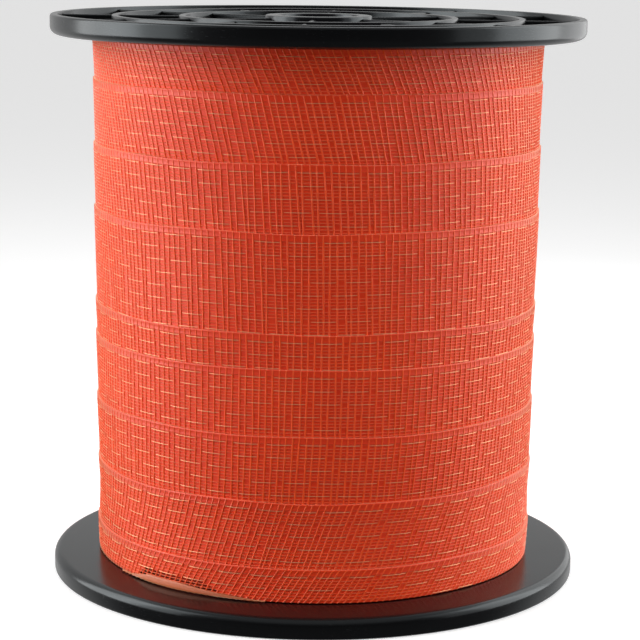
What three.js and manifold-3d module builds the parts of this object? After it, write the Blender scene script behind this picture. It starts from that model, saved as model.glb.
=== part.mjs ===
// A full reel of woven electric fence tape, standing on its lower flange.
// Millimetres, Z up. The origin is at the middle of the face that the reel stands on.

import * as THREE from 'three';
import { mergeVertices } from 'three/addons/utils/BufferGeometryUtils.js';
import Module from 'manifold-3d';

// Reel, outside sizes
const reelHeight = 211;
const flangeRadius = 100;
const flangeDepth = 7.5;

// Flange walls
const rimWall = 3;
const webThickness = 2.5;
const rimFillet = 3;
const rimChamfer = 0.7;
const spindleBoreRadius = 15;
const hubWall = 5;

// Stiffening rings and ribs on the outer side of each flange
const wideRingRadius = 76;
const narrowRingRadius = 51;
const ringWall = 2.4;
const ringSetback = 0.4;
const longRibCount = 6;
const ribThickness = 2;
const ribSetback = 1;
const ribTurnDegrees = 5;

// Core tube, and how far the hub of each flange reaches into it
const coreWall = 2.5;
const coreFitClearance = 0.3;
const coreEndGap = 0.3;
const hubReach = 12;

// Wound tape
const tapeRadius = 84;
const tapeThickness = 0.6;
const tapeBoreClearance = 0.3;
const tapeEndGap = 0.3;

// Visible edges of the outer layer, counted down from the upper flange
const firstBandHeight = 16;
const bandPitch = 23.9;
const slippedBand = 4;
const slipHeight = 11.4;

// Turns that show as ridges on the two ends of the roll
const turnRidgePitch = 7;
const turnRidgeDepth = 0.8;

// How finely round shapes are cut
const flangeSegments = 72;
const tapeSegments = 64;
const coreSegments = 48;
const filletSegments = 4;

// How far a rib reaches into the walls that it joins
const ribOverlap = 0.5;

const hubRadius = spindleBoreRadius + hubWall;
const coreInnerRadius = hubRadius + coreFitClearance;
const coreRadius = coreInnerRadius + coreWall;
const rimInnerRadius = flangeRadius - rimWall;
const windingBottom = flangeDepth;
const windingTop = reelHeight - flangeDepth;

const blackPlastic = new THREE.MeshStandardMaterial({
  color: 0x17181a, roughness: 0.38, metalness: 0,
});
const corePlastic = new THREE.MeshStandardMaterial({
  color: 0x1d1e20, roughness: 0.55, metalness: 0,
});
const orangeWeave = new THREE.MeshStandardMaterial({
  color: 0xe0502a, roughness: 0.6, metalness: 0,
});

const wasm = await Module();
wasm.setup();

// Turns a closed outline of [radius, height] points about the Z axis.
function turned(outline, segments) {
  const points = outline.map(([radius, height]) => new THREE.Vector2(radius, height));
  points.push(points[0].clone());
  const geometry = new THREE.LatheGeometry(points, segments);
  geometry.rotateX(Math.PI / 2);
  return weld(geometry);
}

// Keeps only the positions and merges the vertices that faces share.
function weld(geometry) {
  geometry.deleteAttribute('normal');
  geometry.deleteAttribute('uv');
  return mergeVertices(geometry);
}

function toSolid(geometry) {
  return new wasm.Manifold(new wasm.Mesh({
    numProp: 3,
    vertProperties: new Float32Array(geometry.attributes.position.array),
    triVerts: new Uint32Array(geometry.index.array),
  }));
}

function toGeometry(solid) {
  const mesh = solid.getMesh();
  const geometry = new THREE.BufferGeometry();
  geometry.setAttribute('position', new THREE.BufferAttribute(mesh.vertProperties, 3));
  geometry.setIndex(new THREE.BufferAttribute(mesh.triVerts, 1));
  return geometry;
}

function named(name, geometry, material) {
  const shape = geometry.toNonIndexed();
  shape.computeVertexNormals();
  const mesh = new THREE.Mesh(shape, material);
  mesh.name = name;
  return mesh;
}

// Quarter round from the tape-side face up to the rim's outer wall.
function rimFilletPoints() {
  const points = [];
  for (let step = 0; step <= filletSegments; step += 1) {
    const angle = (Math.PI / 2) * (step / filletSegments);
    const radius = flangeRadius - rimFillet + rimFillet * Math.sin(angle);
    points.push([radius, rimFillet - rimFillet * Math.cos(angle)]);
  }
  return points;
}

// Section of a stiffening ring that stands on the web.
function ringPoints(radius) {
  const ringTop = flangeDepth - ringSetback;
  const outside = radius + ringWall / 2;
  const inside = radius - ringWall / 2;
  return [
    [outside, webThickness],
    [outside, ringTop],
    [inside, ringTop],
    [inside, webThickness],
  ];
}

// Half section of the flange. Height 0 is the face that the tape lies against.
function flangeOutline() {
  return [
    [spindleBoreRadius, -hubReach],
    [hubRadius, -hubReach],
    [hubRadius, 0],
    ...rimFilletPoints(),
    [flangeRadius, flangeDepth - rimChamfer],
    [flangeRadius - rimChamfer, flangeDepth],
    [rimInnerRadius, flangeDepth],
    [rimInnerRadius, webThickness],
    ...ringPoints(wideRingRadius),
    ...ringPoints(narrowRingRadius),
    [hubRadius, webThickness],
    [hubRadius, flangeDepth],
    [spindleBoreRadius, flangeDepth],
  ];
}

// A straight rib between two radii, standing on the web.
function radialRib(innerRadius, outerRadius, angle) {
  const ribTop = flangeDepth - ribSetback;
  const ribBottom = webThickness - ribOverlap;
  const length = outerRadius - innerRadius;
  const rib = new THREE.BoxGeometry(length, ribThickness, ribTop - ribBottom);
  rib.translate((innerRadius + outerRadius) / 2, 0, (ribTop + ribBottom) / 2);
  rib.rotateZ(angle);
  return toSolid(weld(rib));
}

// One flange moulding, with its outer side facing up. Long ribs run from the hub to the rim, and a
// short rib halfway between them runs from the narrow ring to the rim.
function flangeMoulding() {
  let solid = toSolid(turned(flangeOutline(), flangeSegments));
  const ribStep = Math.PI / longRibCount;
  const firstAngle = THREE.MathUtils.degToRad(90 - ribTurnDegrees);
  for (let index = 0; index < 2 * longRibCount; index += 1) {
    const startRadius = index % 2 === 0 ? hubRadius : narrowRingRadius;
    const rib = radialRib(startRadius - ribOverlap, rimInnerRadius + ribOverlap,
      firstAngle - index * ribStep);
    solid = solid.add(rib);
  }
  return toGeometry(solid);
}

// Heights of the tape edges that show on the outside of the roll, from the top down.
function visibleEdgeHeights() {
  const heights = [];
  let height = windingTop - firstBandHeight;
  for (let band = 1; height > windingBottom + tapeEndGap + tapeThickness; band += 1) {
    heights.push(band === slippedBand ? height - slipHeight : height);
    height -= bandPitch;
  }
  return heights;
}

// Outside of the roll from the top down. The later turn always lies over the one above it, so the
// roll steps out by one tape thickness at each visible edge.
function bandPoints(top, bottom) {
  const underTurn = tapeRadius - tapeThickness;
  const points = [[tapeRadius, top]];
  for (const height of visibleEdgeHeights()) {
    points.push([underTurn, height], [tapeRadius, height]);
  }
  points.push([underTurn, bottom]);
  return points;
}

// Ridged end face of the roll from the bore outwards. Into is +1 where the roll lies above the face.
function endPoints(face, into) {
  const boreRadius = coreRadius + tapeBoreClearance;
  const outerRadius = tapeRadius - tapeThickness;
  const ridges = Math.round((outerRadius - boreRadius) / turnRidgePitch);
  const pitch = (outerRadius - boreRadius) / ridges;
  const points = [];
  for (let ridge = 0; ridge < ridges; ridge += 1) {
    points.push([boreRadius + ridge * pitch, face]);
    points.push([boreRadius + (ridge + 1 / 2) * pitch, face + into * turnRidgeDepth]);
  }
  return points;
}

function tapeOutline() {
  const bottom = windingBottom + tapeEndGap;
  const top = windingTop - tapeEndGap;
  return [
    ...endPoints(bottom, 1),
    ...bandPoints(top, bottom).reverse(),
    ...endPoints(top, -1).reverse(),
  ];
}

function coreOutline() {
  const bottom = windingBottom + coreEndGap;
  const top = windingTop - coreEndGap;
  return [
    [coreInnerRadius, bottom],
    [coreRadius, bottom],
    [coreRadius, top],
    [coreInnerRadius, top],
  ];
}

const topFlange = named('top_flange', flangeMoulding(), blackPlastic);
topFlange.position.z = windingTop;

const bottomFlange = named('bottom_flange', flangeMoulding(), blackPlastic);
bottomFlange.rotation.x = Math.PI;
bottomFlange.position.z = windingBottom;

const coreTube = named('core_tube', turned(coreOutline(), coreSegments), corePlastic);
const tapeRoll = named('tape_roll', turned(tapeOutline(), tapeSegments), orangeWeave);

const reel = new THREE.Group();
reel.add(topFlange, bottomFlange, coreTube, tapeRoll);

export default reel;
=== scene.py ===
# Looks of a full reel of woven electric fence tape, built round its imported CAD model.
# Metres, Z up. The origin is at the middle of the face that the reel stands on.
import math

import bpy
import numpy as np
from bpy.props import (
    FloatProperty, FloatVectorProperty, IntProperty, PointerProperty,
)
from mathutils import Matrix, Vector


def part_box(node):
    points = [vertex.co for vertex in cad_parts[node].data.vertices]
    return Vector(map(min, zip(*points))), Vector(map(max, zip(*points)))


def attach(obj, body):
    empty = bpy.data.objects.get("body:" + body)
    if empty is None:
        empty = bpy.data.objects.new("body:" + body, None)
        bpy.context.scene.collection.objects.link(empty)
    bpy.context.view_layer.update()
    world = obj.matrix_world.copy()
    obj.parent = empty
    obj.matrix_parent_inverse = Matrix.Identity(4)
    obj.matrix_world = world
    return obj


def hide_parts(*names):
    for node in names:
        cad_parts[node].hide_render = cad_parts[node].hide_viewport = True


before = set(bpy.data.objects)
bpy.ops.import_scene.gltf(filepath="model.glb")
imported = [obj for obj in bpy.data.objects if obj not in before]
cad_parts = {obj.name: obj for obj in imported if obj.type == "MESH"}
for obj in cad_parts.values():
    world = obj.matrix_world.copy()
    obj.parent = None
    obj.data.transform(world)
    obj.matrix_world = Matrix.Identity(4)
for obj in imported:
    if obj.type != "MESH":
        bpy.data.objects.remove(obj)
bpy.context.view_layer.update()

bl_info = {
    "name": "Fence tape reel",
    "version": (1, 0, 0),
    "blender": (4, 5, 0),
    "location": "3D View > Sidebar > Fence tape",
    "description": "Makes the dressed model of a full reel of woven electric fence tape",
    "category": "Add Mesh",
}

MM = 0.001
TOP_FLANGE_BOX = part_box("top_flange")
CORE_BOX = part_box("core_tube")
ROLL_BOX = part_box("tape_roll")
FLANGE_RADIUS = TOP_FLANGE_BOX[1].x
ROLL_RADIUS = ROLL_BOX[1].y
BODY = "root"

# Soft strips round the reel: degrees from the front to the right, watts, and whether gloss shows it
SIDE_STRIPS = (
    (-105, 2.4, True), (-85, 3.5, True), (-65, 1.5, True), (-56, 2.5, False),
    (56, 2.3, False), (65, 0.5, True), (85, 2.1, True), (85, 2.2, False), (105, 2.4, True),
    (125, 0.8, True), (145, 0.6, True),
)
STRIP_WIDTH, STRIP_HEIGHT = 0.28, 0.9
STRIP_DISTANCE, STRIP_MIDDLE = 0.8, 0.43
FLOOR_HALF_SIDE = 14.0

# Flange ribs: long ones from the hub and short ones from the narrow ring, in turn
RIB_COUNT = 12
RIB_OVERLAP = 0.5 * MM
INNER_PAD_RADIUS, OUTER_PAD_RADIUS = 36 * MM, 63.5 * MM
FEWEST_JOINED_FACES = 1000

# How the outer turns sit on the roll
TAPE_SEAT = 1.45 * MM
GROUND_THICKNESS = 0.35 * MM
EDGE_WAVER = 0.10 * MM
SLACK = 0.10 * MM
LOW_PINCH = 0.5 * MM
TAPER, TAPER_MIDDLE = 0.0075, 0.1
LOOSE_EDGE_MIDDLE = 0.015
LOOSE_LIFT = 4.6 * MM
END_OVERLAP_WEFTS = 3.5
THREAD_ROWS = 34
WIRE_BEAT, WIRE_OVER = 5, 3


# Sizes and colours that a user would change

class ReelSizes(bpy.types.PropertyGroup):
    """Sizes of the two flange mouldings and the core tube."""

    rim_depth: FloatProperty(
        name="Rim depth", description="Height of a flange's rim",
        default=7.5 * MM, unit="LENGTH")
    rim_wall: FloatProperty(
        name="Rim wall", description="Thickness of the rim",
        default=3.0 * MM, unit="LENGTH")
    web: FloatProperty(
        name="Web", description="Thickness of the flange's disc",
        default=2.5 * MM, unit="LENGTH")
    rim_fillet: FloatProperty(
        name="Rim fillet", description="Round from the tape side of the disc into the rim",
        default=3.0 * MM, unit="LENGTH")
    spindle_radius: FloatProperty(
        name="Spindle bore radius", description="Radius of the bore through the hub",
        default=15.0 * MM, unit="LENGTH")
    hub_wall: FloatProperty(
        name="Hub wall", description="Thickness of the hub sleeve",
        default=5.0 * MM, unit="LENGTH")
    hub_reach: FloatProperty(
        name="Hub reach", description="How far the hub sleeve goes into the core tube",
        default=12.0 * MM, unit="LENGTH")
    wide_ring: FloatProperty(
        name="Wide ring radius", description="Middle radius of the outer stiffening ring",
        default=76.0 * MM, unit="LENGTH")
    narrow_ring: FloatProperty(
        name="Narrow ring radius", description="Middle radius of the inner stiffening ring",
        default=51.0 * MM, unit="LENGTH")
    ring_wall: FloatProperty(
        name="Ring wall", description="Thickness of the stiffening rings",
        default=2.4 * MM, unit="LENGTH")
    rib_thickness: FloatProperty(
        name="Rib thickness", description="Thickness of a rib at its foot",
        default=2.0 * MM, unit="LENGTH")
    rib_turn: FloatProperty(
        name="Rib turn", description="How far the ribs are turned from the Y axis",
        default=math.radians(5), subtype="ANGLE")
    core_wall: FloatProperty(
        name="Core wall", description="Thickness of the core tube",
        default=2.5 * MM, unit="LENGTH")


class TapeSizes(bpy.types.PropertyGroup):
    """Sizes of the wound tape and its weave."""

    edge_heights: FloatVectorProperty(
        name="Edge heights",
        description="Height of each turn's upper edge at the front, from the top turn down",
        size=9, unit="LENGTH",
        default=[h * MM for h in (203.2, 187.5, 163.6, 139.7, 104.4, 91.9, 68.0, 44.1, 20.2)])
    weft_slants: FloatVectorProperty(
        name="Weft slants",
        description="How far the crosswise threads lean in each turn, from the top turn down",
        size=9, subtype="NONE",
        default=(0.40, 0.22, 0.05, 0.02, 0.0, -0.02, -0.06, -0.36, -0.62))
    proud: FloatProperty(
        name="Stands proud", description="How far the loose outer turns stand off the wound roll",
        default=0.6 * MM, unit="LENGTH")
    lean: FloatProperty(
        name="Lean", description="How far each turn leans in under the next one",
        default=0.6 * MM, unit="LENGTH")
    seam_spread: FloatProperty(
        name="Crossover spread",
        description="Part of a turn over which the tape steps down, on each side of the back",
        default=0.165)
    wefts_per_turn: IntProperty(
        name="Wefts per turn", description="Crosswise threads in one turn", default=216)
    weft_width: FloatProperty(
        name="Weft width", description="Width of a crosswise thread",
        default=0.72 * MM, unit="LENGTH")
    warp_pitch: FloatProperty(
        name="Warp pitch", description="Distance between lengthwise threads",
        default=1.15 * MM, unit="LENGTH")
    warp_width: FloatProperty(
        name="Warp width", description="Width of a lengthwise thread",
        default=0.34 * MM, unit="LENGTH")
    wire_every: IntProperty(
        name="Wire every", description="Each how many lengthwise threads is a wire", default=4)
    wire_width: FloatProperty(
        name="Wire width", description="Width of a conducting wire",
        default=0.24 * MM, unit="LENGTH")
    selvage: FloatProperty(
        name="Selvage", description="Height of the dense edge of the tape",
        default=2.6 * MM, unit="LENGTH")


class ReelColours(bpy.types.PropertyGroup):
    """Colours of the reel and the tape."""

    plastic: FloatVectorProperty(
        name="Reel plastic", description="Colour of the flange mouldings",
        size=3, subtype="COLOR", default=(0.0045, 0.0045, 0.005))
    core: FloatVectorProperty(
        name="Core plastic", description="Colour of the core tube",
        size=3, subtype="COLOR", default=(0.022, 0.023, 0.025))
    tape: FloatVectorProperty(
        name="Tape", description="Colour of the tape where threads lie close together",
        size=3, subtype="COLOR", default=(0.86, 0.042, 0.0006))
    thread: FloatVectorProperty(
        name="Thread", description="Colour of a single crosswise thread",
        size=3, subtype="COLOR", default=(0.90, 0.066, 0.002))
    loose: FloatVectorProperty(
        name="Loose edge", description="Colour of the pale edge that hangs loose",
        size=3, subtype="COLOR", default=(0.60, 0.12, 0.03))
    # Painted shade: a darker orange that stands for the shade seen through the open weave and on
    # the deeper layers.
    deep_shade: FloatVectorProperty(
        name="Deep weave", description="Colour seen through the open weave",
        size=3, subtype="COLOR", default=(0.82, 0.029, 0.0004))
    wire: FloatVectorProperty(
        name="Wire", description="Colour of the conducting wires",
        size=3, subtype="COLOR", default=(0.98, 0.52, 0.28))


class StudioSizes(bpy.types.PropertyGroup):
    """Camera and lights."""

    distance: FloatProperty(
        name="Camera distance", description="Level distance from the reel's axis",
        default=0.8374, unit="LENGTH")
    height: FloatProperty(
        name="Camera height", description="Height above the floor",
        default=0.2446, unit="LENGTH")
    pitch: FloatProperty(
        name="Camera pitch", description="How far the camera looks down",
        default=math.radians(10.124), subtype="ANGLE")
    yaw: FloatProperty(
        name="Camera yaw", description="How far the camera turns to the right",
        default=math.radians(0.121), subtype="ANGLE")
    roll: FloatProperty(
        name="Camera roll", description="How far the camera leans",
        default=math.radians(0.65), subtype="ANGLE")
    lens: FloatProperty(
        name="Lens", description="Focal length in millimetres", default=124.83)
    side_light: FloatProperty(
        name="Side lights", description="Factor on the power of the side strips", default=1.0)
    back_light: FloatProperty(
        name="Back light", description="Brightness of the surroundings behind the reel",
        default=0.55)
    top_light: FloatProperty(
        name="Top light", description="Brightness of the surroundings overhead", default=0.32)
    front_fill: FloatProperty(
        name="Low fill", description="Power of the low light in front in watts", default=0.08)
    front_light: FloatProperty(
        name="Front light", description="Brightness of the surroundings in front", default=0.02)
    floor_light: FloatProperty(
        name="Floor light", description="Brightness that comes up from the floor", default=0.06)


# Materials

class Socket:
    """A value in a node tree that takes part in arithmetic."""

    def __init__(self, finish, socket):
        self.finish = finish
        self.socket = socket

    def __add__(self, other):
        return self.finish.math("ADD", self, other)

    __radd__ = __add__

    def __mul__(self, other):
        return self.finish.math("MULTIPLY", self, other)

    __rmul__ = __mul__

    def __sub__(self, other):
        return self.finish.math("SUBTRACT", self, other)

    def __rsub__(self, other):
        return self.finish.math("SUBTRACT", other, self)

    def __pow__(self, other):
        return self.finish.math("POWER", self, other)


class Finish:
    """A node tree that is filled from Python expressions."""

    def __init__(self, tree):
        self.tree = tree
        tree.nodes.clear()

    def node(self, kind, settings=None, outlet=0, **values):
        """Adds a node, sets it up, feeds its sockets and returns one of its outputs."""
        made = self.tree.nodes.new(kind)
        for name, value in (settings or {}).items():
            if name == "stops":
                self.set_stops(made.color_ramp, value)
            else:
                setattr(made, name, value)
        for name, value in values.items():
            self.feed(self.inlet(made, name), value)
        return Socket(self, made.outputs[outlet]) if made.outputs else None

    @staticmethod
    def inlet(node, name):
        """A socket by its number, as in i0, or by its name with underscores for spaces."""
        if name[0] == "i" and name[1:].isdigit():
            return node.inputs[int(name[1:])]
        return node.inputs[name.replace("_", " ")]

    @staticmethod
    def set_stops(ramp, stops):
        while len(ramp.elements) < len(stops):
            ramp.elements.new(0.5)
        for element, (place, colour) in zip(ramp.elements, stops):
            element.position = place
            element.color = (*colour, 1)

    def feed(self, socket, value):
        if isinstance(value, Socket):
            self.tree.links.new(value.socket, socket)
        elif socket.type == "RGBA" and len(value) == 3:
            socket.default_value = (*value, 1)
        else:
            socket.default_value = value

    def math(self, operation, *values):
        return self.node("ShaderNodeMath", {"operation": operation},
                         **{f"i{n}": value for n, value in enumerate(values)})

    def ramp(self, value, low, high, out_low=0.0, out_high=1.0):
        """A smooth step of a value between two limits."""
        return self.node(
            "ShaderNodeMapRange", {"interpolation_type": "SMOOTHSTEP"},
            Value=value, From_Min=low, From_Max=high, To_Min=out_low, To_Max=out_high)

    def blend(self, share, first, second):
        """A colour between two colours."""
        return self.node("ShaderNodeMix", {"data_type": "RGBA"}, outlet=2,
                         i0=share, i6=first, i7=second)

    def place(self):
        """The point's place on the object, in metres."""
        return self.node("ShaderNodeTexCoord", outlet=3)

    def axes(self, vector):
        """The three numbers of a vector."""
        split = self.node("ShaderNodeSeparateXYZ", Vector=vector).socket.node
        return [Socket(self, outlet) for outlet in split.outputs]

    def noise(self, where, scale, detail=2.0, roughness=0.5):
        return self.node("ShaderNodeTexNoise", Vector=where, Scale=scale, Detail=detail,
                         Roughness=roughness)

    def stretched(self, where, scale):
        """A place whose axes are scaled apart."""
        return self.node("ShaderNodeVectorMath", {"operation": "MULTIPLY"}, i0=where, i1=scale)

    def bump(self, height, strength, distance):
        return self.node("ShaderNodeBump", Height=height, Strength=strength, Distance=distance)


def new_finish(name):
    material = bpy.data.materials.new(name)
    material.use_nodes = True
    return material, Finish(material.node_tree)


def finish_surface(finish, **values):
    """Adds the surface shader and joins it to the material's output."""
    surface = finish.node("ShaderNodeBsdfPrincipled", **values)
    finish.node("ShaderNodeOutputMaterial", Surface=surface)


def moulded_plastic(colours):
    """Black moulded plastic: fine grain, uneven gloss, scuffs where the reel is handled."""
    material, finish = new_finish("moulded_black_plastic")
    where = finish.place()
    x, y, z = finish.axes(where)
    radius = (x * x + y * y) ** 0.5
    rim = finish.ramp(radius, FLANGE_RADIUS - 1.6 * MM, FLANGE_RADIUS - 0.2 * MM)
    cloud = finish.noise(where, 38.0, 3.0)
    scratches = finish.noise(finish.stretched(where, (60.0, 60.0, 900.0)), 6.0, 4.0, 0.65)
    scuff = finish.ramp(scratches, 0.60, 0.72) * rim * finish.ramp(cloud, 0.45, 0.62)
    dust = finish.ramp(finish.noise(where, 420.0, 2.0), 0.66, 0.76)
    worn = finish.blend(scuff * 0.22, tuple(colours.plastic), (0.08, 0.08, 0.085))
    colour = finish.blend(dust * 0.04, worn, (0.08, 0.08, 0.08))
    gloss = 0.17 + cloud * 0.10 + scuff * 0.10 + dust * 0.03
    grain = finish.noise(where, 1900.0, 2.0)
    ripple = finish.noise(where, 55.0, 1.0)
    fine = finish.bump(grain, 0.04, 0.05 * MM)
    relief = finish.node("ShaderNodeBump", Height=ripple, Strength=0.06, Distance=0.4 * MM,
                         Normal=fine)
    finish_surface(finish, Base_Color=colour, Roughness=gloss, Normal=relief, IOR=1.5,
                   Specular_Tint=(0.88, 0.97, 1.0))
    return material


def extruded_plastic(colours):
    """Matte black tube with draw lines along its length."""
    material, finish = new_finish("extruded_black_plastic")
    where = finish.place()
    lines = finish.noise(finish.stretched(where, (900.0, 900.0, 12.0)), 1.0, 2.0)
    colour = finish.blend(lines, tuple(colours.core), (0.035, 0.036, 0.038))
    finish_surface(finish, Base_Color=colour, Roughness=0.42 + lines * 0.2,
                   Normal=finish.bump(lines, 0.25, 0.1 * MM))
    return material


def tape_finish(name, colour, pale, rough, grain_scale, depth):
    """Orange polyethylene: colour that drifts along the tape, with fine drawn streaks."""
    material, finish = new_finish(name)
    where = finish.place()
    drift = finish.noise(finish.stretched(where, (1.0, 1.0, 3.0)), 24.0, 3.0)
    streaks = finish.noise(finish.stretched(where, (1.0, 1.0, 6.0)), grain_scale, 3.0, 0.6)
    share = finish.ramp(drift, 0.30, 0.72) * 0.55 + finish.ramp(streaks, 0.35, 0.70) * 0.45
    finish_surface(
        finish, Base_Color=finish.blend(share, colour, pale),
        Roughness=rough + streaks * 0.16, Normal=finish.bump(streaks, depth, 0.1 * MM),
        Specular_IOR_Level=0.7,
        Sheen_Weight=1.0, Sheen_Roughness=0.38, Sheen_Tint=(1.0, 1.0, 0.62))
    return material


def bright_wire(colours):
    """Thin drawn steel wire with a faint stain along its length."""
    material, finish = new_finish("bright_steel_wire")
    where = finish.place()
    stain = finish.noise(where, 300.0, 3.0)
    colour = finish.blend(finish.ramp(stain, 0.4, 0.75) * 0.5, tuple(colours.wire),
                          (0.75, 0.34, 0.16))
    finish_surface(finish, Base_Color=colour, Metallic=0.6, Roughness=0.30 + stain * 0.15,
                   Normal=finish.bump(stain, 0.15, 0.05 * MM))
    return material


# Meshes

def add_piece(name, points, faces, material, slot, *nodes, smooth=math.radians(40)):
    """Makes an object that rides on the reel and stands for CAD nodes."""
    mesh = bpy.data.meshes.new(name)
    mesh.from_pydata(points, [], faces)
    mesh.validate()
    mesh.polygons.foreach_set("use_smooth", np.ones(len(mesh.polygons), dtype=bool))
    mesh.set_sharp_from_angle(angle=smooth)
    mesh.materials.append(material)
    piece = bpy.data.objects.new(name, mesh)
    bpy.context.scene.collection.objects.link(piece)
    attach(piece, BODY)
    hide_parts(*nodes)
    return piece


def turned(outline, segments):
    """Points and faces of a closed outline of (radius, height) turned about the Z axis."""
    outline = np.asarray(outline)
    count = len(outline)
    angles = np.linspace(0, 2 * math.pi, segments, endpoint=False)[:, None]
    points = np.stack([outline[:, 0] * np.cos(angles), outline[:, 0] * np.sin(angles),
                       np.broadcast_to(outline[:, 1], (segments, count))], axis=-1)
    index = np.arange(segments * count).reshape(segments, count)
    after = np.roll(index, -1, axis=0)
    faces = np.stack([index, after, np.roll(after, -1, axis=1), np.roll(index, -1, axis=1)],
                     axis=-1).reshape(-1, 4)
    return outward(points.reshape(-1, 3), faces.tolist())


def outward(points, faces):
    """Turns all the faces round if they face into the solid."""
    first = np.array([points[face[0]] for face in faces])
    second = np.array([points[face[1]] for face in faces])
    third = np.array([points[face[2]] for face in faces])
    volume = np.einsum("ij,ij->i", first, np.cross(second, third)).sum()
    if any(len(face) == 4 for face in faces):
        last = np.array([points[face[-1]] for face in faces])
        volume += np.einsum("ij,ij->i", first, np.cross(third, last)).sum()
    if volume < 0:
        faces = [face[::-1] for face in faces]
    return points, faces


def tubes(sections, valid):
    """Closed tubes through cross-sections of shape (rows, steps, sides, 3), where valid."""
    rows, steps, sides = sections.shape[:3]
    index = np.arange(rows * steps * sides).reshape(rows, steps, sides)
    joined = valid[:, :-1] & valid[:, 1:]
    row, step = np.nonzero(joined)
    walls = [np.stack([index[row, step, side], index[row, step, (side + 1) % sides],
                       index[row, step + 1, (side + 1) % sides], index[row, step + 1, side]], 1)
             for side in range(sides)]
    blank = np.zeros((rows, 1), dtype=bool)
    first = np.nonzero(np.hstack([joined, blank]) & ~np.hstack([blank, joined]))
    last = np.nonzero(np.hstack([blank, joined]) & ~np.hstack([joined, blank]))
    caps = index[first][:, ::-1].tolist() + index[last].tolist()
    faces = np.concatenate(walls)
    used = np.zeros(rows * steps * sides, dtype=bool)
    used[faces] = True
    renumber = np.cumsum(used) - 1
    faces = renumber[faces].tolist() + [[int(renumber[v]) for v in cap] for cap in caps]
    return outward(sections.reshape(-1, 3)[used], faces)


def arc(centre, radius, start, end, count):
    """Points of an arc in an outline, angles in degrees."""
    return [(centre[0] + radius * math.cos(math.radians(angle)),
             centre[1] + radius * math.sin(math.radians(angle)))
            for angle in np.linspace(start, end, count)]


# Flanges and core

def ring_outline(sizes, radius, top):
    """The part of the flange outline that goes over a stiffening ring, from outside in."""
    half, foot, edge = sizes.ring_wall / 2, 0.6 * MM, 0.4 * MM
    return [
        *arc((radius + half + foot, sizes.web + foot), foot, 270, 180, 3),
        *arc((radius + half - edge, top - edge), edge, 0, 90, 3),
        *arc((radius - half + edge, top - edge), edge, 90, 180, 3),
        *arc((radius - half - foot, sizes.web + foot), foot, 0, -90, 3),
    ]


def flange_outline(sizes):
    """Half section of a flange, with its tape side at height 0 and its outer side up."""
    bore, hub = sizes.spindle_radius, sizes.spindle_radius + sizes.hub_wall
    top, foot, edge = sizes.rim_depth, 0.8 * MM, 0.6 * MM
    inside = FLANGE_RADIUS - sizes.rim_wall
    fillet = sizes.rim_fillet
    return [
        *arc((bore + edge, edge - sizes.hub_reach), edge, 180, 270, 3),
        *arc((hub - edge, edge - sizes.hub_reach), edge, 270, 360, 3),
        (hub, 0.0),
        (0.045, 0.0),
        (0.072, 0.0),
        *arc((FLANGE_RADIUS - fillet, fillet), fillet, 270, 360, 9),
        *arc((FLANGE_RADIUS - 0.9 * MM, top - 0.9 * MM), 0.9 * MM, 0, 90, 5),
        *arc((inside + edge, top - edge), edge, 90, 180, 3),
        *arc((inside - foot, sizes.web + foot), foot, 0, -90, 4),
        *ring_outline(sizes, sizes.wide_ring, top - 0.4 * MM),
        *ring_outline(sizes, sizes.narrow_ring, top - 0.4 * MM),
        *arc((hub + foot, sizes.web + foot), foot, 270, 180, 4),
        *arc((hub - edge, top - edge), edge, 0, 90, 3),
        *arc((bore + edge, top - edge), edge, 90, 180, 3),
    ]


def rib_solid(sizes, inner, outer, angle):
    """A straight rib with draft and a rounded top, standing on the web."""
    foot, top = sizes.web - 0.5 * MM, sizes.rim_depth - 1.0 * MM
    wide, narrow = sizes.rib_thickness / 2 + 0.1 * MM, sizes.rib_thickness / 2 - 0.15 * MM
    section = [(-wide, foot), (-narrow, top - 0.4 * MM), (-narrow + 0.35 * MM, top),
               (narrow - 0.35 * MM, top), (narrow, top - 0.4 * MM), (wide, foot)]
    turn = np.array([[math.cos(angle), math.sin(angle)], [-math.sin(angle), math.cos(angle)]])
    rings = []
    for along in (inner, outer):
        flat = np.array([(along, side) for side, _ in section]) @ turn
        rings.append([(x, y, height) for (x, y), (_, height) in zip(flat, section)])
    return np.array([rings])


def ejector_pad(radius, angle, floor):
    """A low round pad that an ejector pin leaves on the web."""
    count = 20
    around = np.linspace(0, 2 * math.pi, count, endpoint=False)
    centre = (radius * math.cos(angle), radius * math.sin(angle))
    rings = [[(centre[0] + size * math.cos(a), centre[1] + size * math.sin(a), height)
              for a in around]
             for size, height in ((3.0 * MM, floor - 0.3 * MM), (2.9 * MM, floor + 0.35 * MM))]
    return np.array([rings])


def flange_shape(sizes):
    """Points and faces of one flange moulding, ribs and ejector pads joined on."""
    disc = turned(flange_outline(sizes), 192)
    hub = sizes.spindle_radius + sizes.hub_wall
    inside = FLANGE_RADIUS - sizes.rim_wall
    added = []
    rib_step = 360 / RIB_COUNT
    for index in range(RIB_COUNT):
        start = hub if index % 2 == 0 else sizes.narrow_ring
        angle = math.radians(90 - rib_step * index) - sizes.rib_turn
        added.append(rib_solid(sizes, start - RIB_OVERLAP, inside + RIB_OVERLAP, angle))
        if index % 2:
            added.append(ejector_pad(INNER_PAD_RADIUS, angle, sizes.web))
            added.append(ejector_pad(OUTER_PAD_RADIUS, angle + math.radians(rib_step / 2),
                                     sizes.web))
    points, faces, start = [], [], 0
    for shape in added:
        some_points, some_faces = tubes(shape, np.ones(shape.shape[:2], dtype=bool))
        points.extend(some_points.tolist())
        faces.extend([[v + start for v in face] for face in some_faces])
        start = len(points)
    return joined(disc, (points, faces))


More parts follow.
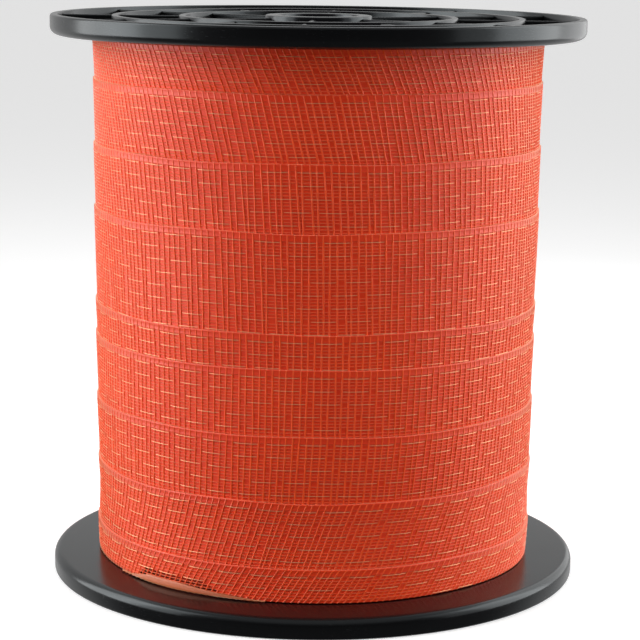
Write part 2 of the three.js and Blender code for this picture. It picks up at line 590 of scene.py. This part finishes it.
def joined(first, second):
    """The union of two solids."""
    made = []
    for name, (points, faces) in (("moulding_disc", first), ("moulding_ribs", second)):
        mesh = bpy.data.meshes.new(name)
        mesh.from_pydata([tuple(p) for p in points], [], faces)
        solid = bpy.data.objects.new(name, mesh)
        bpy.context.scene.collection.objects.link(solid)
        made.append(solid)
    union = made[0].modifiers.new("ribs", "BOOLEAN")
    union.operation, union.solver, union.object = "UNION", "MANIFOLD", made[1]
    result = bpy.data.meshes.new_from_object(
        made[0].evaluated_get(bpy.context.evaluated_depsgraph_get()))
    points = np.array([v.co for v in result.vertices])
    faces = [list(p.vertices) for p in result.polygons]
    for solid in made:
        bpy.data.meshes.remove(solid.data)
    bpy.data.meshes.remove(result)
    if len(faces) < FEWEST_JOINED_FACES:
        raise RuntimeError("the ribs didn't join the flange's disc")
    return points, faces


# Tape

class Winding:
    """Where the outer turns of the tape lie. A place on the tape is a count of turns from the
    back seam and a distance down from the tape's upper edge."""

    def __init__(self, sizes):
        self.sizes = sizes
        self.bottom = ROLL_BOX[0].z + 0.1 * MM
        self.turns = len(sizes.edge_heights)
        self.first = -sizes.seam_spread
        self.last = self.turns - sizes.seam_spread
        self.length = 2 * math.pi * (ROLL_RADIUS + sizes.proud)
        rng = np.random.default_rng(41)
        self.waves = [(rng.uniform(1.7, 9.0), rng.uniform(0, 6.28), rng.uniform(0.3, 1.0))
                      for _ in range(9)]
        self.bulges = [(int(rng.integers(1, 8)), rng.uniform(15, 90), rng.uniform(0, 6.28),
                        rng.uniform(0, 6.28)) for _ in range(10)]

    def edge(self, turn):
        """Height of the tape's upper edge. It is level but for the step down at the back."""
        levels = np.array([self.sizes.edge_heights[0], *self.sizes.edge_heights,
                           self.sizes.edge_heights[-1]])
        seam = np.round(turn).astype(int)
        share = np.clip((turn - seam) / (2 * self.sizes.seam_spread) + 0.5, 0, 1)
        share = share * share * (3 - 2 * share)
        above = levels[np.clip(seam, 0, self.turns)]
        below = levels[np.clip(seam + 1, 0, self.turns)]
        wave = sum(size * np.sin(rate * 6.28 * turn + phase) for rate, phase, size in self.waves)
        height = above + (below - above) * share + wave * EDGE_WAVER
        return np.minimum(height, self.sizes.edge_heights[0])

    def shown(self, turn):
        """How much of the tape shows below its upper edge before the next turn covers it. The
        turn under the cut end already shows a little before it."""
        covered = turn + 1 < self.last - END_OVERLAP_WEFTS / self.sizes.wefts_per_turn
        below = np.where(covered, self.edge(turn + 1), self.bottom)
        return np.maximum(self.edge(turn) - below, 0.05 * MM)

    def bulge(self, angle, height):
        """Slack of the wound roll, in metres, with a slight waist above the lowest band."""
        swell = sum(np.sin(k * angle + a) * np.sin(f * height + b) for k, f, a, b in self.bulges)
        low = np.clip((height - 0.022) / 0.012, 0, 1) * np.clip((0.046 - height) / 0.012, 0, 1)
        return swell * SLACK - low * LOW_PINCH

    def place(self, turn, down, out, along=0.0):
        """The point at a place on the tape, out from its base and shifted along it."""
        height = np.maximum(self.edge(turn) - down, self.bottom)
        lean = 0.5 - down / self.shown(turn)
        angle = 2 * math.pi * turn - math.pi
        radius = (ROLL_RADIUS + self.sizes.proud - TAPE_SEAT + self.bulge(angle, height)
                  + np.maximum(lean, -0.9) * self.sizes.lean + out
                  + (height - TAPER_MIDDLE) * TAPER)
        angle = angle + along / radius
        return np.stack([radius * np.sin(angle), -radius * np.cos(angle),
                         np.broadcast_to(height, radius.shape)], axis=-1)

    def stations(self):
        """Turn counts of the crosswise threads along the outer turns."""
        per_turn = self.sizes.wefts_per_turn
        numbers = np.arange(math.ceil(self.first * per_turn), int(self.last * per_turn))
        return numbers / per_turn

    def slant(self, turn):
        """How far a crosswise thread runs along the tape for each metre across it."""
        middles = np.arange(self.turns) + 0.5
        return np.interp(turn, middles, list(self.sizes.weft_slants))


def tape_base(winding):
    """The closely woven ground of the outer turns, as one thin solid strip."""
    sizes = winding.sizes
    turn = winding.stations()[:, None]
    shown = winding.shown(turn)
    share = np.array([0.0, 0.02, 0.25, 0.5, 0.75, 1.0])
    down = np.concatenate([share * shown, shown + 2.0 * MM], axis=1)
    limit = winding.edge(turn) - winding.bottom - loose_cut(turn, winding)
    down = np.minimum(down, limit)
    outer = winding.place(turn, down, 0.0)
    inner = winding.place(turn, down[:, ::-1], -GROUND_THICKNESS)
    ring = np.concatenate([outer, inner], axis=1)[None]
    return tubes(ring, np.ones(ring.shape[:2], dtype=bool))


def loose_window(turn):
    """1 where the lowest edge hangs loose at the front left, falling to 0 on both sides."""
    angle = (turn % 1.0) * 360 - 180
    return np.clip((angle + 54) / 8, 0, 1) * np.clip((-14 - angle) / 22, 0, 1)


def loose_cut(turn, winding):
    """How far above the flange the ground of the last turn ends."""
    last = turn > winding.turns - 1 - winding.sizes.seam_spread
    window = np.where(last, loose_window(turn), 0.0)
    return np.clip(window * 3 - 1.0, 0, 1) * LOOSE_LIFT


def weft_threads(winding):
    """The crosswise threads, each from the upper selvage down to the next turn."""
    sizes = winding.sizes
    rng = np.random.default_rng(7)
    turn = winding.stations()[:, None]
    turn = turn + rng.normal(0, 0.045, turn.shape) / sizes.wefts_per_turn
    lean = winding.slant(turn) + rng.normal(0, 0.012, turn.shape)
    share = np.linspace(0, 1, 7)[None, :]
    start = 0.12 * MM
    reach = np.maximum(winding.shown(turn) + 0.8 * MM - start, 0.0)
    down = start + share * reach
    across = turn + down * lean / winding.length
    half, height = sizes.weft_width / 2, 0.44 * sizes.weft_width
    profile = [(-half, 0.0), (-0.55 * half, height), (0.55 * half, height), (half, 0.0)]
    sections = np.stack([winding.place(across, down, out - 0.02 * MM, along)
                         for along, out in profile], axis=2)
    valid = np.broadcast_to(reach > 0.6 * MM, down.shape)
    return tubes(sections, valid)


def lengthwise(winding, down, profile, rise):
    """Threads along the tape at set distances below its edge, over and under the wefts."""
    sizes = winding.sizes
    turn = winding.stations()[None, :]
    down = down[:, None]
    across = turn + down * winding.slant(turn) / winding.length
    valid = (down < winding.shown(across) + 0.5 * MM)
    valid &= winding.edge(across) - down > winding.bottom + 0.4 * MM
    sections = np.stack([
        winding.place(across, np.broadcast_to(down + drop, across.shape), out + rise)
        for drop, out in profile], axis=2)
    return tubes(sections, valid)


def thread_rows(sizes):
    """Distances of the lengthwise threads below the selvage, and which of them are wires."""
    numbers = np.arange(THREAD_ROWS)
    down = sizes.selvage + 0.25 * MM + numbers * sizes.warp_pitch
    return down, numbers % sizes.wire_every == 0


def warp_threads(winding):
    """The lengthwise threads, over one crosswise thread and under the next."""
    sizes = winding.sizes
    down, wire = thread_rows(sizes)
    down = down[~wire]
    half = sizes.warp_width / 2
    profile = [(-half, 0.0), (0.0, 1.5 * half), (half, 0.0)]
    count = len(winding.stations())
    over = (np.arange(count)[None, :] + np.arange(len(down))[:, None]) % 2
    rise = 0.02 * MM + over * 0.12 * MM
    return lengthwise(winding, down, profile, rise)


def wire_threads(winding):
    """The conducting wires, which float over three crosswise threads and dip under two."""
    sizes = winding.sizes
    down, wire = thread_rows(sizes)
    down = down[wire]
    half = sizes.wire_width / 2
    profile = [(-half, 0.0), (-0.6 * half, 1.5 * half), (0.6 * half, 1.5 * half), (half, 0.0)]
    count = len(winding.stations())
    rng = np.random.default_rng(19)
    phase = rng.integers(0, WIRE_BEAT, len(down))[:, None]
    beat = (np.arange(count)[None, :] + phase) % WIRE_BEAT
    rise = np.where(beat < WIRE_OVER, 0.24, -0.20) * MM
    return lengthwise(winding, down, profile, rise)


def selvage_ribbon(winding):
    """The dense upper edge of the tape, with a ridge for each of its close threads."""
    sizes = winding.sizes
    turn = winding.stations()[:, None]
    profile = [(share * sizes.selvage, out * MM) for share, out in (
        (0.0, 0.0), (0.02, 0.14), (0.10, 0.27), (0.20, 0.27), (0.30, 0.15), (0.40, 0.20),
        (0.48, 0.14), (0.56, 0.20), (0.66, 0.15), (0.76, 0.26), (0.86, 0.27), (0.96, 0.14),
        (1.0, 0.0))]
    down = np.array([[drop for drop, _ in profile]])
    out = np.array([[out for _, out in profile]])
    ring = winding.place(turn, np.broadcast_to(down, (len(turn), len(profile))), out - 0.03 * MM)
    return tubes(ring[None], np.ones((1, len(turn)), dtype=bool))


def loose_selvage(winding):
    """The tape's lower selvage, which hangs loose at the front left and tucks in beyond it."""
    sizes = winding.sizes
    per_turn = 2 * sizes.wefts_per_turn
    numbers = np.arange(int(0.34 * per_turn), int(0.47 * per_turn))
    turn = (winding.turns - 1) + numbers / per_turn
    window = loose_window(turn)
    top = winding.bottom + (0.3 + 2.4 * window) * MM
    flare = (0.5 * window - 0.3 + 0.30 * (numbers % 2)) * MM
    angle = 2 * math.pi * turn - math.pi
    base = ROLL_RADIUS + sizes.proud - TAPE_SEAT + (LOOSE_EDGE_MIDDLE - TAPER_MIDDLE) * TAPER
    profile = [(0.0, 0.0), (0.12, 0.5), (0.30, 0.42), (0.45, 0.55), (0.62, 0.45), (0.80, 0.56),
               (1.0, 0.1)]
    rings = []
    for drop, out in profile:
        height = top - drop * (top - winding.bottom)
        radius = base + flare + (0.3 * drop + out) * MM
        rings.append(np.stack([radius * np.sin(angle), -radius * np.cos(angle), height], -1))
    ring = np.stack(rings, axis=1)[None]
    return tubes(ring, np.ones(ring.shape[:2], dtype=bool))


def wound_roll_outline():
    """Half section of the deeper layers, with the edges of turns showing as ridges at both ends."""
    low, high = ROLL_BOX[0].z, ROLL_BOX[1].z
    bore = CORE_BOX[1].x + 0.3 * MM
    outside = ROLL_RADIUS - 2.6 * MM
    radii = np.arange(bore, outside - 5 * MM, 0.9 * MM)
    depth = np.where(np.arange(len(radii)) % 2, 0.45, 0.05) * MM
    lower = [(r, low + d) for r, d in zip(radii, depth)]
    upper = [(r, high - d) for r, d in zip(radii, depth)]
    return [
        *lower,
        (outside - 4 * MM, low), (outside - 3.6 * MM, low + 7 * MM), (outside, low + 9 * MM),
        (outside, high - 0.3 * MM), (outside - 0.5 * MM, high),
        *reversed(upper),
    ]


# Operators, one for each group of like pieces and one for the stage

class MakeFlanges(bpy.types.Operator):
    """Makes both flange mouldings"""

    bl_idname = "fence_reel.flanges"
    bl_label = "Make flanges"

    def execute(self, context):
        sizes, colours = context.scene.fence_reel_sizes, context.scene.fence_reel_colours
        material = moulded_plastic(colours)
        points, faces = flange_shape(sizes)
        upper = points + np.array([0, 0, TOP_FLANGE_BOX[1].z - sizes.rim_depth])
        lower = points * np.array([1, -1, -1]) + np.array([0, 0, sizes.rim_depth])
        for name, node, place in (("top_flange_moulding", "top_flange", upper),
                                  ("bottom_flange_moulding", "bottom_flange", lower)):
            add_piece(name, place.tolist(), faces, material, "reel_plastic", node,
                      smooth=math.radians(32))
        return {"FINISHED"}


class MakeCore(bpy.types.Operator):
    """Makes the core tube that the tape is wound on"""

    bl_idname = "fence_reel.core"
    bl_label = "Make core tube"

    def execute(self, context):
        sizes, colours = context.scene.fence_reel_sizes, context.scene.fence_reel_colours
        low, high, radius = CORE_BOX[0].z, CORE_BOX[1].z, CORE_BOX[1].x
        inside, edge = radius - sizes.core_wall, 0.3 * MM
        outline = [(inside, low + edge), (inside + edge, low), (radius - edge, low),
                   (radius, low + edge), (radius, high - edge), (radius - edge, high),
                   (inside + edge, high), (inside, high - edge)]
        points, faces = turned(outline, 128)
        add_piece("core_tube_wall", points.tolist(), faces, extruded_plastic(colours),
                  "core_plastic", "core_tube")
        return {"FINISHED"}


class MakeWoundRoll(bpy.types.Operator):
    """Makes the deeper layers of the wound tape"""

    bl_idname = "fence_reel.wound_roll"
    bl_label = "Make wound roll"

    def execute(self, context):
        colours = context.scene.fence_reel_colours
        points, faces = turned(wound_roll_outline(), 128)
        # Painted shade: the deeper layers are coloured between the painted-shade orange and half of
        # it, darker still, for the shade inside the roll.
        material = tape_finish("painted_shade_layers", tuple(c * 0.5 for c in colours.deep_shade),
                               tuple(colours.deep_shade), 0.5, 700.0, 0.5)
        add_piece("wound_roll", points.tolist(), faces, material, "woven_tape", "tape_roll")
        return {"FINISHED"}


class MakeTape(bpy.types.Operator):
    """Makes the outer turns of the tape: ground, selvages, threads and wires"""

    bl_idname = "fence_reel.tape"
    bl_label = "Make outer turns"

    def execute(self, context):
        sizes, colours = context.scene.fence_tape_sizes, context.scene.fence_reel_colours
        winding = Winding(sizes)
        tape, thread = tuple(colours.tape), tuple(colours.thread)
        # Ground and selvage drift at random between the tape colour and the darker painted-shade
        # orange.
        ground = tape_finish("tape_ground", tuple(colours.deep_shade), tape, 0.42, 900.0, 0.8)
        edge = tape_finish("tape_selvage", tuple(colours.deep_shade), tape, 0.36, 900.0, 0.5)
        pale = tuple(colours.loose)
        loose = tape_finish("loose_pale_selvage", tuple(c * 0.6 for c in pale), pale, 0.40,
                            900.0, 0.5)
        weft = tape_finish("weft_monofilament", thread, tuple(min(1, c * 1.25) for c in thread),
                           0.30, 500.0, 0.1)
        warp = tape_finish("warp_monofilament", tape, thread, 0.30, 500.0, 0.1)
        for name, shape, material, slot in (
            ("tape_turns", tape_base(winding), ground, "woven_tape"),
            ("tape_selvages", selvage_ribbon(winding), edge, "woven_tape"),
            ("loose_selvage", loose_selvage(winding), loose, "woven_tape"),
            ("weft_threads", weft_threads(winding), weft, "woven_tape"),
            ("warp_threads", warp_threads(winding), warp, "woven_tape"),
            ("tape_wires", wire_threads(winding), bright_wire(colours), "tape_wire"),
        ):
            points, faces = shape
            add_piece(name, points.tolist(), faces, material, slot, "tape_roll",
                      smooth=math.radians(80))
        return {"FINISHED"}


class MakeStudio(bpy.types.Operator):
    """Makes the floor, the lights and the camera"""

    bl_idname = "fence_reel.studio"
    bl_label = "Make studio"

    def execute(self, context):
        scene, sizes = context.scene, context.scene.fence_studio_sizes
        self.make_camera(scene, sizes)
        self.make_world(scene, sizes)
        self.make_lights(scene, sizes)
        self.make_floor(scene)
        scene.view_settings.view_transform = "Standard"
        return {"FINISHED"}

    @staticmethod
    def make_camera(scene, sizes):
        """A camera at the photograph's angle."""
        pitch, yaw, roll = sizes.pitch, sizes.yaw, sizes.roll
        ahead = Vector((math.sin(yaw) * math.cos(pitch), math.cos(yaw) * math.cos(pitch),
                        -math.sin(pitch)))
        level = Vector((math.cos(yaw), -math.sin(yaw), 0))
        upright = level.cross(ahead)
        right = math.cos(roll) * level + math.sin(roll) * upright
        up = math.cos(roll) * upright - math.sin(roll) * level
        data = bpy.data.cameras.new("photo_camera")
        data.lens, data.sensor_width = sizes.lens, 36
        data.clip_start, data.clip_end = 0.05, 60
        camera = bpy.data.objects.new("photo_camera", data)
        turn = Matrix((right, up, -ahead)).transposed().to_4x4()
        camera.matrix_world = Matrix.Translation((0, -sizes.distance, sizes.height)) @ turn
        scene.collection.objects.link(camera)
        scene.camera = camera

    @staticmethod
    def make_world(scene, sizes):
        """Surroundings that are bright behind and overhead and dark in front."""
        world = bpy.data.worlds.new("studio")
        world.use_nodes = True
        finish = Finish(world.node_tree)
        x, y, z = finish.axes(finish.node("ShaderNodeTexCoord"))
        above = finish.ramp(z, 0.25, 0.85)
        below = finish.ramp(z, 0.05, -0.45)
        behind = finish.ramp(y, -0.15, 0.55)
        level = (sizes.front_light + behind * sizes.back_light + above * sizes.top_light
                 + below * sizes.floor_light)
        seen = finish.node("ShaderNodeLightPath")
        strength = level + seen * (1.0 - level)
        light = finish.node("ShaderNodeBackground", Color=(1, 1, 1), Strength=strength)
        finish.node("ShaderNodeOutputWorld", Surface=light)
        scene.world = world

    @staticmethod
    def make_lights(scene, sizes):
        """Tall soft strips on both sides of the reel, and a low fill in front."""
        for degrees, power, mirrored in SIDE_STRIPS:
            data = bpy.data.lights.new("side_strip", "AREA")
            data.shape, data.size, data.size_y = "RECTANGLE", STRIP_WIDTH, STRIP_HEIGHT
            data.energy = power * sizes.side_light
            light = bpy.data.objects.new("side_strip", data)
            angle = math.radians(degrees)
            place = Vector((math.sin(angle), -math.cos(angle), 0)) * STRIP_DISTANCE
            light.location = place + Vector((0, 0, STRIP_MIDDLE))
            light.rotation_mode = "QUATERNION"
            light.rotation_quaternion = place.to_track_quat("Z", "Y")
            light.visible_camera, light.visible_glossy = False, mirrored
            scene.collection.objects.link(light)
        data = bpy.data.lights.new("low_fill", "AREA")
        data.shape, data.size, data.size_y = "RECTANGLE", 0.5, 0.05
        data.energy, data.specular_factor = sizes.front_fill, 0.0
        fill = bpy.data.objects.new("low_fill", data)
        fill.location = (0, -0.30, 0.035)
        fill.rotation_euler = (math.radians(90), 0, 0)
        fill.visible_camera = fill.visible_glossy = False
        scene.collection.objects.link(fill)

    @staticmethod
    def make_floor(scene):
        """A plain pale floor."""
        material, finish = new_finish("pale_floor")
        speck = finish.noise(finish.place(), 60.0)
        finish_surface(finish, Base_Color=finish.blend(speck, (0.88, 0.88, 0.88), (0.9, 0.9, 0.9)),
                       Roughness=0.9, Emission_Color=(1, 1, 1), Emission_Strength=0.35)
        mesh = bpy.data.meshes.new("floor")
        side = FLOOR_HALF_SIDE
        mesh.from_pydata([(-side, -side, 0), (side, -side, 0), (side, side, 0), (-side, side, 0)],
                         [], [(0, 1, 2, 3)])
        mesh.materials.append(material)
        floor = bpy.data.objects.new("floor", mesh)
        floor.location.z = -0.05 * MM
        floor.visible_glossy = False
        floor.visible_diffuse = False
        scene.collection.objects.link(floor)


class ReelPanel(bpy.types.Panel):
    """Lists the makers of the reel"""

    bl_idname = "VIEW3D_PT_fence_reel"
    bl_label = "Fence tape reel"
    bl_space_type = "VIEW_3D"
    bl_region_type = "UI"
    bl_category = "Fence tape"

    def draw(self, context):
        for group in (context.scene.fence_reel_sizes, context.scene.fence_tape_sizes,
                      context.scene.fence_reel_colours, context.scene.fence_studio_sizes):
            box = self.layout.box()
            for name in group.bl_rna.properties.keys():
                if name not in ("rna_type", "name"):
                    box.prop(group, name)
        for maker in MAKERS:
            self.layout.operator(maker.bl_idname)


GROUPS = (
    ("fence_reel_sizes", ReelSizes),
    ("fence_tape_sizes", TapeSizes),
    ("fence_reel_colours", ReelColours),
    ("fence_studio_sizes", StudioSizes),
)
MAKERS = (MakeStudio, MakeFlanges, MakeCore, MakeWoundRoll, MakeTape)


def register():
    for name, group in GROUPS:
        bpy.utils.register_class(group)
        setattr(bpy.types.Scene, name, PointerProperty(type=group))
    for maker in MAKERS:
        bpy.utils.register_class(maker)
    bpy.utils.register_class(ReelPanel)


def unregister():
    bpy.utils.unregister_class(ReelPanel)
    for maker in reversed(MAKERS):
        bpy.utils.unregister_class(maker)
    for name, group in reversed(GROUPS):
        delattr(bpy.types.Scene, name)
        bpy.utils.unregister_class(group)


def main():
    register()
    bpy.ops.fence_reel.studio()
    bpy.ops.fence_reel.flanges()
    bpy.ops.fence_reel.core()
    bpy.ops.fence_reel.wound_roll()
    bpy.ops.fence_reel.tape()


if __name__ == "__main__":
    main()
